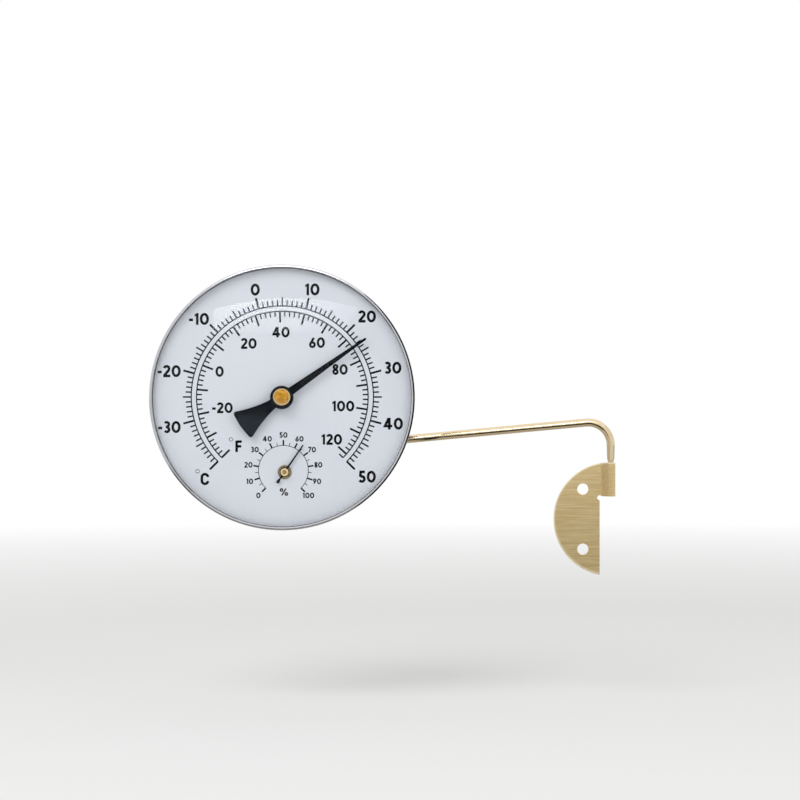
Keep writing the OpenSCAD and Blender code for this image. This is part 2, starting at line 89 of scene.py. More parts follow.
def add(tree, kind, inputs=(), **settings):
    """Adds a node. Its inputs, in order or by name, take values, sockets or other nodes' first outputs."""
    node = tree.nodes.new(kind)
    for name, value in settings.items():
        setattr(node, name, value)
    keyed = inputs if isinstance(inputs, dict) else dict(enumerate(inputs))
    for key, value in keyed.items():
        if isinstance(value, bpy.types.Node):
            value = value.outputs[0]
        if isinstance(value, bpy.types.NodeSocket):
            tree.links.new(value, node.inputs[key])
        else:
            node.inputs[key].default_value = value
    return node


def new_material(name, base, metallic, roughness):
    """A material with one Principled shader. Returns the material, its tree and the shader."""
    material = bpy.data.materials.new(name)
    material.use_nodes = True
    tree = material.node_tree
    shader = tree.nodes["Principled BSDF"]
    shader.inputs["Base Color"].default_value = colour(base)
    shader.inputs["Metallic"].default_value = metallic
    shader.inputs["Roughness"].default_value = roughness
    return material, tree, shader


print("helpers are ready")

# %% [markdown]
# ## Patterns of a real size
# Object coordinates are metres from the object's origin, so a pattern divided by a length has
# grains of that length. Noise gives scratches, clouds and specks, depending on how far it is
# stretched along each axis. Lathe marks are noise too, along the distance from an axis. Images
# would need unwrapping. Noise needs none, so it fits any CAD part. On a real surface one cause
# shows in several ways: along a scratch the colour, the gloss and the height all change. So one
# pattern can drive the colour, the roughness and the relief together.

# %% Helpers for patterns
# Noise seldom leaves the first span. The second is narrower, for patterns with more contrast.
NOISE_LOW, NOISE_HIGH = 0.3, 0.7
STREAK_LOW, STREAK_HIGH = 0.36, 0.64


def grain(tree, size, detail=3.0, fineness=0.6):
    """Noise whose grains measure size, in metres along X, Y and Z."""
    place = add(tree, "ShaderNodeTexCoord").outputs["Object"]
    mapped = add(tree, "ShaderNodeMapping", {"Vector": place, "Scale": [1 / length for length in size]})
    return add(tree, "ShaderNodeTexNoise", {
        "Vector": mapped, "Scale": 1.0, "Detail": detail, "Roughness": fineness,
    })


def distance_from_axis(tree, centre):
    """Distance in metres from an axis along Y through a centre."""
    place = add(tree, "ShaderNodeTexCoord").outputs["Object"]
    centred = add(tree, "ShaderNodeVectorMath", (place, centre), operation="SUBTRACT")
    flat = add(tree, "ShaderNodeVectorMath", (centred, (1, 0, 1)), operation="MULTIPLY")
    return add(tree, "ShaderNodeVectorMath", (flat,), operation="LENGTH").outputs["Value"]


def lathe_marks(tree, centre, pitch):
    """Noise in rings about an axis along Y through a centre."""
    turns = add(tree, "ShaderNodeMath", (distance_from_axis(tree, centre), pitch), operation="DIVIDE")
    return add(tree, "ShaderNodeTexNoise", {"W": turns, "Scale": 1.0, "Detail": 3.0}, noise_dimensions="1D")


def vary(tree, shader, pattern, colours=None, roughness=None, relief=None):
    """Lets a pattern run between two colours and two roughnesses, and gives it a depth in metres."""
    if colours:
        dark, light = colours
        mix = add(tree, "ShaderNodeMix", {0: pattern, 6: colour(dark), 7: colour(light)}, data_type="RGBA")
        tree.links.new(mix.outputs[2], shader.inputs["Base Color"])
    if roughness:
        low, high = roughness
        spread = add(tree, "ShaderNodeMapRange", (pattern, NOISE_LOW, NOISE_HIGH, low, high))
        tree.links.new(spread.outputs[0], shader.inputs["Roughness"])
    if relief:
        bump = add(tree, "ShaderNodeBump", {"Height": pattern, "Distance": relief, "Strength": 1.0})
        tree.links.new(bump.outputs[0], shader.inputs["Normal"])


print("noise is used from", NOISE_LOW, "to", NOISE_HIGH)

# %% [markdown]
# ## Brushed sheet brass
# The two half-moon plates are stamped from rolled sheet that was brushed along its length.
# Brushing leaves fine scratches a centimetre or more long, so light spreads across them and
# the sheet looks silky. An anisotropic shader could do that too, but it shows no single line.
# Noise stretched along X does. The real lines are finer than a pixel, so they are drawn 0.4 mm
# apart. A second, slow noise gives the faint reddish and greenish clouds of unlacquered brass.
# The last half millimetre of the round rim is paler. This is a painted highlight for the rounded
# edge that catches the light, which the die also burnishes. Each plate has its own arc, so its
# own material.

# %% Brushed sheet brass
SCRATCH = (14 * MM, 0.4 * MM, 0.4 * MM)
CLOUD = (8 * MM, 8 * MM, 8 * MM)
# How far inside the arc the painted rim highlight begins, and where it has its full colour
RIM_HIGHLIGHT_BEGINS, RIM_HIGHLIGHT_IS_FULL = 0.9 * MM, 0.4 * MM


def brushed_brass(name, node):
    """Brass for a half-moon plate whose arc bulges to -X and is as high as its box."""
    low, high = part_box(node)
    radius = (high.z - low.z) / 2
    centre = (low.x + radius, 0, low.z + radius)
    material, tree, shader = new_material(name, "#d6ba82", 1.0, 0.34)
    scratches = grain(tree, SCRATCH, detail=4.0, fineness=0.65)
    clouds = grain(tree, CLOUD, detail=2.0, fineness=0.5)
    tint = add(tree, "ShaderNodeMix", {
        0: clouds, 6: colour("#dfbf84"), 7: colour("#d4c18e"),
    }, data_type="RGBA")
    bright_lines = add(tree, "ShaderNodeMapRange", (scratches, STREAK_LOW, STREAK_HIGH))
    streak = add(tree, "ShaderNodeMix", {
        0: bright_lines, 6: colour("#c3a670"), 7: colour("#f7e5b9"),
    }, data_type="RGBA")
    sheet = add(tree, "ShaderNodeMix", {0: 0.5, 6: tint.outputs[2], 7: streak.outputs[2]}, data_type="RGBA")
    # The pale rim colour is a painted highlight on the rounded edge, partly burnish.
    distance = distance_from_axis(tree, centre)
    outwards = add(tree, "ShaderNodeMapRange", (distance, radius - RIM_HIGHLIGHT_BEGINS, radius - RIM_HIGHLIGHT_IS_FULL))
    rim_highlight = add(tree, "ShaderNodeMix", {
        0: outwards, 6: sheet.outputs[2], 7: colour("#fbecc6"),
    }, data_type="RGBA")
    tree.links.new(rim_highlight.outputs[2], shader.inputs["Base Color"])
    vary(tree, shader, scratches, roughness=(0.28, 0.42), relief=0.008 * MM)
    return material


wall_plate_brass = brushed_brass("Brushed brass of the wall plate", "wall_plate")
case_plate_brass = brushed_brass("Brushed brass of the case plate", "case_plate")
print("made", wall_plate_brass.name, "and", case_plate_brass.name)

# %% [markdown]
# ## Drawn brass rod
# Rod is pulled through a die, which burnishes it: it is much smoother than the sheet, with a
# long soft highlight. The highlight could be stretched in the shader, but a smooth round rod
# stretches it by its shape alone. Handling leaves small changes in its gloss, a few
# millimetres across, and the die leaves faint lines along it.

# %% Drawn brass rod
HANDLED_ROD = (6 * MM, 4 * MM, 4 * MM)
DIE_LINES = (30 * MM, 0.4 * MM, 0.4 * MM)


def drawn_brass(name):
    """Brass with a few dull spots, and with lines along X, the way the rod runs."""
    material, tree, shader = new_material(name, "#dcc9a6", 1.0, 0.12)
    vary(tree, shader, grain(tree, HANDLED_ROD), ("#d2bd95", "#e4d4b4"), (0.08, 0.16))
    vary(tree, shader, grain(tree, DIE_LINES, detail=2.0, fineness=0.5), relief=0.002 * MM)
    return material


rod_brass = drawn_brass("Drawn brass rod")
print("made", rod_brass.name)

# %% [markdown]
# ## Turned brass
# The cap, the bushings and the button come off a lathe, so their marks are rings round their
# own axis. Real grooves in the mesh would take thousands of faces, so a relief in the material
# stands for them. They are drawn 0.25 mm apart, coarser than real tool marks, because finer
# ones would vanish in the picture. Slow noise adds a little tarnish. The cap's edge is paler: a
# painted highlight, for the edge that catches the light. The button is paler past a small circle
# round its centre, and the flange of the bushing is darker at its edge, so past a given distance
# from the axis the colour turns to a third one.

# %% Turned brass
TOOL_MARKS = 0.25 * MM
TARNISH = (1.6 * MM, 1.6 * MM, 1.6 * MM)
CAP_EDGE, BUTTON_EDGE, FLANGE_EDGE = 3.4 * MM, 0.9 * MM, 2.9 * MM


def turned_brass(name, centre, dark, light, edge_colour, edge, smooth, rough):
    """Brass with rings round a centre and another colour past the distance called edge."""
    material, tree, shader = new_material(name, dark, 1.0, smooth)
    marks = lathe_marks(tree, centre, TOOL_MARKS)
    vary(tree, shader, marks, roughness=(smooth, rough), relief=0.004 * MM)
    blotches = add(tree, "ShaderNodeMapRange", (grain(tree, TARNISH), STREAK_LOW, STREAK_HIGH))
    face = add(tree, "ShaderNodeMix", {0: blotches, 6: colour(dark), 7: colour(light)}, data_type="RGBA")
    distance = distance_from_axis(tree, centre)
    outwards = add(tree, "ShaderNodeMapRange", (distance, edge - 0.1 * MM, edge + 0.2 * MM))
    edged = add(tree, "ShaderNodeMix", {
        0: outwards, 6: face.outputs[2], 7: colour(edge_colour),
    }, data_type="RGBA")
    tree.links.new(edged.outputs[2], shader.inputs["Base Color"])
    return material


# The cap's pale edge colour is a painted highlight.
cap_brass = turned_brass(
    "Turned brass of the large cap", thermometer_centre,
    "#b4780f", "#edb445", "#ecd296", CAP_EDGE, 0.24, 0.34)
button_brass = turned_brass(
    "Turned brass of the small button", hygrometer_centre,
    "#b48a44", "#cca25c", "#fbe0ae", BUTTON_EDGE, 0.22, 0.32)
flange_brass = turned_brass(
    "Dull brass of the bushing", hygrometer_centre,
    "#8d7752", "#ab9468", "#80694a", FLANGE_EDGE, 0.38, 0.5)
print("made", cap_brass.name, "and two more")

# %% [markdown]
# ## Steel
# The bezel is rolled and polished, so it mirrors the studio. A perfect mirror would be simpler,
# but no real one is flawless, so slow noise dulls it here and there. The cup behind it is
# pressed and spun sheet with a satin face. Its marks are circles round the dial's axis, drawn
# 0.6 mm apart so that they show. The brackets, the rivets and the spindle are plain steel, cold
# rolled, zinc plated or ground. These look alike but for tone and gloss, so one function makes
# them.

# %% Polished, satin and plain steel
HANDLED_STEEL = (12 * MM, 12 * MM, 12 * MM)
SPINNING_MARKS = 0.6 * MM
ROLLED = (0.5 * MM, 4 * MM, 0.5 * MM)


def polished_steel(name):
    """A mirror with faint dull spots."""
    material, tree, shader = new_material(name, "#c4c6ca", 1.0, 0.1)
    vary(tree, shader, grain(tree, HANDLED_STEEL), ("#bbbdc2", "#cccdd1"), (0.07, 0.16))
    return material


def spun_steel(name, centre):
    """Satin sheet with rings round a centre."""
    material, tree, shader = new_material(name, "#b4b7bb", 1.0, 0.33)
    marks = lathe_marks(tree, centre, SPINNING_MARKS)
    vary(tree, shader, marks, ("#a4a7ac", "#c2c5c8"), (0.26, 0.42), 0.006 * MM)
    return material


def plain_steel(name, dark, light, smooth, rough):
    """Steel with short lines along Y."""
    material, tree, shader = new_material(name, dark, 1.0, smooth)
    vary(tree, shader, grain(tree, ROLLED), (dark, light), (smooth, rough), 0.004 * MM)
    return material


bezel_steel = polished_steel("Polished steel of the bezel")
cup_steel = spun_steel("Spun satin steel", thermometer_centre)
rivet_steel = plain_steel("Zinc plated steel", "#a3a7aa", "#c4c8cb", 0.28, 0.42)
strip_steel = plain_steel("Cold rolled steel strip", "#8f9296", "#b2b5b9", 0.3, 0.45)
ground_steel = plain_steel("Ground steel rod", "#9fa2a6", "#c5c7ca", 0.16, 0.28)
print("made five steels")

# %% [markdown]
# ## Strips that feel the air
# The thermometer's coil is bimetal: two alloys rolled together, one warmer in colour than the
# other. The hygrometer's coil is a metal strip with a matt coating that swells in damp air.
# Each side of a strip could have its own colour, but both coils lie behind the dial, where they
# hardly show. So their finish stays simple: lines along the strip, with no relief.

# %% Bimetal and humidity strip
STRIP_LINES = (1.5 * MM, 0.2 * MM, 1.5 * MM)


def coil_strip(name, dark, light, metallic, smooth, rough):
    """Strip with lines round the coil, 0.2 mm apart across its width."""
    material, tree, shader = new_material(name, dark, metallic, smooth)
    vary(tree, shader, grain(tree, STRIP_LINES), (dark, light), (smooth, rough))
    return material


bimetal = coil_strip("Rolled bimetal strip", "#a17a50", "#cba271", 1.0, 0.26, 0.4)
humidity_strip = coil_strip("Coated humidity strip", "#958b70", "#b8ae93", 0.0, 0.55, 0.75)
print("made", bimetal.name, "and", humidity_strip.name)

# %% [markdown]
# ## White enamel, black ink, black lacquer
# The dial is sheet metal with a stoved enamel, slightly blue, with a faint orange peel about a
# millimetre across. The print is a matt black ink. The pointers are stoved in black lacquer
# and mirror what stands before them, but weakly. The boss is moulded plastic, with a softer
# gloss. The gasket is rubber, dull and a little rough. One black could serve for all four, but
# the eye tells them apart by what they mirror, so each has its own gloss and its own specks.

# %% Enamel, ink, lacquer, plastic and rubber
UNEVEN_COAT = (35 * MM, 35 * MM, 35 * MM)
ORANGE_PEEL = (1.2 * MM, 1.2 * MM, 1.2 * MM)


def enamel(name):
    """White enamel that is a little uneven in tone and in surface."""
    material, tree, shader = new_material(name, "#dfe1e8", 0.0, 0.38)
    vary(tree, shader, grain(tree, UNEVEN_COAT, detail=2.0, fineness=0.5), ("#dbdde5", "#e3e5eb"))
    peel = grain(tree, ORANGE_PEEL, detail=2.0, fineness=0.5)
    vary(tree, shader, peel, roughness=(0.34, 0.44), relief=0.006 * MM)
    return material


def black_finish(name, dark, light, smooth, rough, size, gloss, relief):
    """Black with specks of a size in metres. Gloss scales the mirror, and 0.5 leaves it as it is."""
    material, tree, shader = new_material(name, dark, 0.0, smooth)
    shader.inputs["Specular IOR Level"].default_value = gloss
    vary(tree, shader, grain(tree, (size, size, size)), (dark, light), (smooth, rough), relief)
    return material


dial_enamel = enamel("Stoved white enamel")
ink = black_finish(
    "Black printing ink", "#050608", "#0b0c10", 0.5, 0.65, 0.5 * MM, 0.05, 0.001 * MM)
lacquer = black_finish(
    "Black lacquer", "#06080d", "#0a0d14", 0.01, 0.03, 1.2 * MM, 0.26, 0.0001 * MM)
black_plastic = black_finish(
    "Glossy black plastic", "#040505", "#08090a", 0.08, 0.14, 2 * MM, 0.12, 0.0005 * MM)
rubber = black_finish(
    "Black rubber", "#121214", "#202024", 0.6, 0.8, 0.4 * MM, 0.3, 0.003 * MM)
print("made enamel, ink, lacquer, plastic and rubber")

# %% [markdown]
# ## Clear glass
# The lens is solid glass 2 mm thick, so the shader bends light at both faces. Its index is that
# of common glass. Light from a lamp can't be aimed through bent glass, so shadow and bounce
# rays meet a transparent shader instead: the dial is then lit evenly and without noise. The
# grey specular tint weakens the mirror, because a lens in a dark room mirrors little.

# %% Clear glass
GLASS_INDEX = 1.5


def clear_glass(name):
    """Glass that bends what is seen through it and lets the light through unbent."""
    material, tree, shader = new_material(name, "#fdfefe", 0.0, 0.0)
    shader.inputs["Transmission Weight"].default_value = 1.0
    shader.inputs["IOR"].default_value = GLASS_INDEX
    shader.inputs["Specular Tint"].default_value = colour("#7a7c7e")
    rays = add(tree, "ShaderNodeLightPath").outputs
    shadow_or_bounce = (rays["Is Shadow Ray"], rays["Is Diffuse Ray"])
    unaimed = add(tree, "ShaderNodeMath", shadow_or_bounce, operation="MAXIMUM")
    clear = add(tree, "ShaderNodeBsdfTransparent", (colour("#f9fafb"),))
    glass_or_clear = add(tree, "ShaderNodeMixShader", (unaimed, shader, clear))
    tree.links.new(glass_or_clear.outputs[0], tree.nodes["Material Output"].inputs["Surface"])
    return material


glass = clear_glass("Clear pressed glass")
print("made", glass.name, "with an index of", GLASS_INDEX)

# %% [markdown]
# ## Finishes on the parts
# A CAD part could be modelled again in Blender, but its shape is right. So it keeps its mesh,
# and only its material slots are filled. The list shows which finish each part has.

# %% Give each CAD part its finish
FINISHES = {
    "wall_plate": wall_plate_brass,
    "case_plate": case_plate_brass,
    "arm_rod": rod_brass,
    "case_rivets": rivet_steel,
    "case_cup": cup_steel,
    "bezel_ring": bezel_steel,
    "lens": glass,
    "lens_gasket": rubber,
    "dial_plate": dial_enamel,
    "thermometer_bushing": cap_brass,
    "thermometer_frame": strip_steel,
    "thermometer_rear_bush": cap_brass,
    "thermometer_coil": bimetal,
    "thermometer_coil_rivet": rivet_steel,
    "thermometer_spindle": ground_steel,
    "thermometer_pointer": lacquer,
    "thermometer_boss": black_plastic,
    "thermometer_cap": cap_brass,
    "hygrometer_bushing": flange_brass,
    "hygrometer_frame": strip_steel,
    "hygrometer_rear_bush": button_brass,
    "hygrometer_coil": humidity_strip,
    "hygrometer_coil_rivet": rivet_steel,
    "hygrometer_spindle": button_brass,
    "hygrometer_pointer": lacquer,
    "hygrometer_button": button_brass,
}

for node_name, finish in FINISHES.items():
    for slot in nodes[node_name].material_slots:
        slot.material = finish
print("finished parts:", len(FINISHES), "of", len(nodes))

# %% [markdown]
# ## The print on the dial
# The scale is ink, a few hundredths of a millimetre thick. It is drawn flat, with x to the
# right, y up and z towards the reader, and then one matrix stands it on the dial's face. It
# could be painted in the dial's material, but as thin solids its edges stay sharp when close.

# %% Stand drawings on the dial
INK_THICKNESS = 0.03 * MM
in_millimetres = Matrix.Diagonal((MM, MM, INK_THICKNESS, 1))


def printed_piece(name, work, centre):
    """Makes a mesh of a drawing and stands it on the dial, round a centre, to ride with the case."""
    bmesh.ops.recalc_face_normals(work, faces=work.faces)
    mesh = bpy.data.meshes.new("drawing")
    work.to_mesh(mesh)
    work.free()
    mesh.transform(Matrix.Translation((centre.x, dial_front, centre.z)) @ Matrix.Rotation(pi / 2, 4, "X"))
    # The faces of ticks come with the number of a second slot. Clearing sets it back to the first.
    mesh.materials.clear()
    mesh.materials.append(ink)
    piece = bpy.data.objects.new(name, mesh)
    bpy.context.scene.collection.objects.link(piece)
    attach(piece, "case")
    print(name, "has", len(mesh.polygons), "faces")


print("the dial's front is at y =", round(dial_front / MM, 2), "mm")

# %% [markdown]
# ## A ring of ticks, in Geometry Nodes
# Every scale here is the same idea: a number of equal steps over 270 degrees, with a tick at
# some of them. One node tree makes any such ring. It places a point for every step, keeps the
# ones that are multiples of one number and not of another, and puts a small flat box on each.
# So the fine, middle and long ticks of a scale are rings that never overlap. A loop could do
# the same, but a tree can be opened in Blender's node editor and tried with other numbers.

# %% Build the tick tree
TICK_INPUTS = {
    "Steps": "NodeSocketInt",
    "Every": "NodeSocketInt",
    "But Not Every": "NodeSocketInt",
    "Start Angle": "NodeSocketFloat",
    "Sweep": "NodeSocketFloat",
    "Inner Radius": "NodeSocketFloat",
    "Length": "NodeSocketFloat",
    "Width": "NodeSocketFloat",
    "Thickness": "NodeSocketFloat",
    "Material": "NodeSocketMaterial",
}


def tick_tree():
    """The node tree. Where But Not Every is past Steps, it bars no tick."""
    tree = bpy.data.node_groups.new("Ring of ticks", "GeometryNodeTree")
    for name, kind in TICK_INPUTS.items():
        tree.interface.new_socket(name=name, in_out="INPUT", socket_type=kind)
    tree.interface.new_socket(name="Geometry", in_out="OUTPUT", socket_type="NodeSocketGeometry")
    given = add(tree, "NodeGroupInput").outputs
    math = "ShaderNodeMath"

    index = add(tree, "GeometryNodeInputIndex")
    share = add(tree, math, (index, given["Steps"]), operation="DIVIDE")
    turned = add(tree, math, (share, given["Sweep"]), operation="MULTIPLY")
    angle = add(tree, math, (given["Start Angle"], turned), operation="SUBTRACT")
    radius = add(tree, math, (given["Length"], 0.5, given["Inner Radius"]), operation="MULTIPLY_ADD")
    across = add(tree, math, (add(tree, math, (angle,), operation="COSINE"), radius), operation="MULTIPLY")
    upward = add(tree, math, (add(tree, math, (angle,), operation="SINE"), radius), operation="MULTIPLY")
    height = add(tree, math, (given["Thickness"], 0.5), operation="MULTIPLY")
    place = add(tree, "ShaderNodeCombineXYZ", (across, upward, height))
    turn = add(tree, "ShaderNodeCombineXYZ", {"Z": angle})

    kept = add(tree, math, (index, given["Every"]), operation="MODULO")
    is_kept = add(tree, math, (kept, 0.5), operation="LESS_THAN")
    barred = add(tree, math, (index, given["But Not Every"]), operation="MODULO")
    is_clear = add(tree, math, (barred, 0.5), operation="GREATER_THAN")
    bars_none = add(tree, math, (given["But Not Every"], given["Steps"]), operation="GREATER_THAN")
    is_free = add(tree, math, (is_clear, bars_none), operation="MAXIMUM")
    chosen = add(tree, math, (is_kept, is_free), operation="MULTIPLY")

    count = add(tree, math, (given["Steps"], 1.0), operation="ADD")
    points = add(tree, "GeometryNodePoints", {"Count": count, "Position": place})
    size = add(tree, "ShaderNodeCombineXYZ", (given["Length"], given["Width"], given["Thickness"]))
    tick = add(tree, "GeometryNodeMeshCube", {"Size": size})
    ring = add(tree, "GeometryNodeInstanceOnPoints", {
        "Points": points, "Selection": chosen, "Instance": tick, "Rotation": turn,
    })
    solid = add(tree, "GeometryNodeRealizeInstances", {"Geometry": ring})
    inked = add(tree, "GeometryNodeSetMaterial", {"Geometry": solid, "Material": given["Material"]})
    add(tree, "NodeGroupOutput", {"Geometry": inked})
    return tree


ticks = tick_tree()
socket_of = {item.name: item.identifier for item in ticks.interface.items_tree if item.in_out == "INPUT"}
print("tick tree with", len(ticks.nodes), "nodes and", len(socket_of), "inputs")

# %% [markdown]
# ## Run the tree and keep its mesh
# A modifier on an empty mesh runs the tree. It could stay on the scale, but a few rings and a
# circle line have to become one print. So its inputs are set by their identifiers before it is
# first evaluated, and new_from_object turns the result into a plain mesh, which joins the
# drawing. The helper object goes away with its modifier.

# %% Make rings of ticks
# In degrees. Every scale starts at the lower left and runs clockwise.
SCALE_START = 225
SCALE_SWEEP = 270
# Past any number of steps, so it bars no tick
NEVER = 1000000


def ring_of_ticks(work, steps, every, but_not_every, inner_radius, length, width):
    """Adds a ring of ticks, sizes in millimetres, to a drawing."""
    helper = bpy.data.objects.new("tick helper", bpy.data.meshes.new("empty"))
    bpy.context.scene.collection.objects.link(helper)
    modifier = helper.modifiers.new("Ring of ticks", "NODES")
    modifier.node_group = ticks
    values = {
        "Steps": steps,
        "Every": every,
        "But Not Every": but_not_every,
        "Start Angle": radians(SCALE_START),
        "Sweep": radians(SCALE_SWEEP),
        "Inner Radius": inner_radius * MM,
        "Length": length * MM,
        "Width": width * MM,
        "Thickness": INK_THICKNESS,
        "Material": ink,
    }
    for name, value in values.items():
        modifier[socket_of[name]] = value
    evaluated = helper.evaluated_get(bpy.context.evaluated_depsgraph_get())
    mesh = bpy.data.meshes.new_from_object(evaluated)
    helper.modifiers.remove(modifier)
    bpy.data.objects.remove(helper)
    work.from_mesh(mesh)
    bpy.data.meshes.remove(mesh)


print("ticks run over", SCALE_SWEEP, "degrees")

# %% [markdown]
# ## Pen strokes
# The lines, arcs and most numerals are pen strokes: a path with a width. A curve with a bevel
# could draw them, but it would be a round tube, and print is flat. So each point of the path
# gets one point to its left and one to its right, moved out a little more at a corner so that
# the stroke keeps its width. Four corners a point and a face between each pair make it a thin
# solid. A shape whose width changes is a filled outline instead.

# %% Draw strokes


def arc(centre, radius, start, end, steps=12, squeeze=1.0):
    """Points on an arc, angles in degrees. A squeeze below 1 makes it narrower than it is high."""
    angles = [radians(start + (end - start) * i / steps) for i in range(steps + 1)]
    return [(centre[0] + radius * squeeze * cos(a), centre[1] + radius * sin(a)) for a in angles]


def loop(centre, radius, points=24, squeeze=1.0):
    """Points once round, for a closed stroke, which joins the last one to the first."""
    return arc(centre, radius, 0, 360 - 360 / points, points - 1, squeeze)


def stroke(work, path, half_width, place, closed=False):
    """Adds one stroke to a drawing. The matrix place scales and moves it."""
    points = [Vector(point) for point in path]
    count = len(points)
    rows = []
    for i, point in enumerate(points):
        is_first = i == 0 and not closed
        is_last = i == count - 1 and not closed
        leaving = (point - points[i - 1] if is_last else points[(i + 1) % count] - point).normalized()
        arriving = leaving if is_first else (point - points[i - 1]).normalized()
        along = (arriving + leaving).normalized()
        side = Vector((-along.y, along.x)) * half_width / along.dot(leaving)
        left, right = point + side, point - side
        corners = ((left, 0), (right, 0), (right, 1), (left, 1))
        rows.append([work.verts.new(place @ Vector((x, y, z))) for (x, y), z in corners])
    for i in range(count if closed else count - 1):
        here, there = rows[i], rows[(i + 1) % count]
        # An index below zero counts from the end, so a - 3 is the corner after a.
        for a in range(4):
            work.faces.new((here[a], here[a - 3], there[a - 3], there[a]))
    if not closed:
        work.faces.new(rows[0])
        work.faces.new(rows[-1])


def filled(work, outline, place):
    """Adds a filled outline to a drawing."""
    low, high = [[work.verts.new(place @ Vector((x, y, z))) for x, y in outline] for z in (0, 1)]
    for i in range(len(outline)):
        work.faces.new((low[i - 1], low[i], high[i], high[i - 1]))
    flats = [work.faces.new(low), work.faces.new(high)]
    for flat in flats:
        flat.normal_update()
    bmesh.ops.triangulate(work, faces=flats)


print("strokes are", INK_THICKNESS / MM, "mm thick")

# %% [markdown]
# ## Numerals
# The figures are the round plain ones of a geometric typeface: a zero is a true ellipse, and
# the others are straight lines and arcs of one width. Each is drawn in a box one unit high, as
# a list of strokes that are closed or not. A nine is a six that is turned half round. The one
# has a slanted flag, so it is a filled outline. A font would give them all at once, but it
# would be a file from outside, and few figures are needed.

# %% Figures as strokes
HALF_STROKE = 0.112
FIGURE_GAP = 0.13
WIDTHS = {
    "0": 0.74, "1": 0.34, "2": 0.6, "3": 0.55, "4": 0.74, "5": 0.59, "6": 0.6,
    "7": 0.52, "8": 0.55, "9": 0.6, "-": 0.34, "F": 0.54, "C": 0.7,
}
ONE = [(0.125, 0.0), (0.342, 0.0), (0.342, 1.0), (0.2, 1.0), (0.0, 0.87), (0.0, 0.68), (0.125, 0.76)]
SIX = [(loop((0.3, 0.3), 0.212), True), ([(0.116, 0.4), (0.43, 0.96)], False)]
FIGURES = {
    "0": [(loop((0.37, 0.5), 0.4, 30, 0.7), True)],
    "2": [
        (arc((0.29, 0.7), 0.212, 165, -40) + [(0.09, 0.12)], False),
        ([(0.0, 0.088), (0.6, 0.088)], False),
    ],
    "3": [
        (arc((0.26, 0.735), 0.177, 150, -80), False),
        (arc((0.27, 0.275), 0.187, 80, -150), False),
        ([(0.17, 0.51), (0.3, 0.51)], False),
    ],
    "4": [
        ([(0.43, 0.97), (0.1, 0.3), (0.72, 0.3)], False),
        ([(0.47, 1.0), (0.47, 0.0)], False),
    ],
    "5": [
        ([(0.54, 0.912), (0.19, 0.912), (0.14, 0.49)], False),
        (arc((0.28, 0.31), 0.222, 128, -150), False),
    ],
    "6": SIX,
    "7": [([(0.0, 0.912), (0.45, 0.912), (0.15, 0.0)], False)],
    "8": [(loop((0.275, 0.745), 0.167), True), (loop((0.275, 0.275), 0.187), True)],
    "9": [([(WIDTHS["6"] - x, 1 - y) for x, y in path], closed) for path, closed in SIX],
    "-": [([(0.0, 0.42), (0.34, 0.42)], False)],
    "F": [
        ([(0.088, 0.0), (0.088, 1.0)], False),
        ([(0.088, 0.912), (0.54, 0.912)], False),
        ([(0.088, 0.5), (0.5, 0.5)], False),
    ],
    "C": [(arc((0.35, 0.65), 0.262, 5, 180) + arc((0.35, 0.35), 0.262, 180, 355), False)],
}


def write_text(work, text, centre, height):
    """Writes figures with their middle at a centre, sizes in millimetres."""
    x = -(sum(WIDTHS[letter] for letter in text) + FIGURE_GAP * (len(text) - 1)) / 2
    for letter in text:
        place = (
            in_millimetres
            @ Matrix.Translation((centre[0] + x * height, centre[1] - height / 2, 0))
            @ Matrix.Diagonal((height, height, 1, 1))
        )
        if letter == "1":
            filled(work, ONE, place)
        for path, closed in FIGURES.get(letter, []):
            stroke(work, path, HALF_STROKE, place, closed)
        x += WIDTHS[letter] + FIGURE_GAP


print("figures drawn:", "1" + "".join(FIGURES))

# %% [markdown]
# ## The two scales of temperature
# The outer scale runs from -40 to 50 degrees Celsius, with a tick for every degree. The inner
# one shows the same span in Fahrenheit, -40 to 122, with a tick for every two degrees. Each has
# its own circle line. The pin could be the centre of both, but a real dial is printed a few
# tenths of a millimetre off it, so the print has its own centre.

# %% Scales of temperature
print_centre = thermometer_centre + Vector((0.06 * MM, 0, 0.24 * MM))
CELSIUS_STEPS, FAHRENHEIT_STEPS = 90, 81
CELSIUS_LINE, FAHRENHEIT_LINE = 43.5, 40.95
HALF_LINE = 0.28


def printed_scale(name, centre, steps, line, half_line, rings, inwards=False):
    """A circle line with ticks outside or inside it, sizes in millimetres.

    Each ring of ticks holds four numbers: every, but not every, length and width.
    """
    work = bmesh.new()
    circle = arc((0, 0), line, SCALE_START, SCALE_START - SCALE_SWEEP, 180)
    stroke(work, circle, half_line, in_millimetres)
    for every, but_not_every, length, width in rings:
        inner_radius = line - length if inwards else line
        ring_of_ticks(work, steps, every, but_not_every, inner_radius, length, width)
    printed_piece(name, work, centre)


celsius_rings = [(1, 5, 2.7, 0.7), (5, 10, 4.0, 0.74), (10, NEVER, 5.4, 0.98)]
fahrenheit_rings = [(1, 5, 2.55, 0.7), (5, NEVER, 5.3, 0.92)]
printed_scale("celsius_scale", print_centre, CELSIUS_STEPS, CELSIUS_LINE, HALF_LINE, celsius_rings)
printed_scale(
    "fahrenheit_scale", print_centre, FAHRENHEIT_STEPS, FAHRENHEIT_LINE, HALF_LINE, fahrenheit_rings,
    inwards=True)

# %% [markdown]
# ## Their numerals
# Numerals stand upright all round the dial. They could stand in a circle, as the small ones do,
# but a dial maker shifts each one a little until the gap to its tick looks even. So each has
# its own place, in millimetres from the dial's centre.

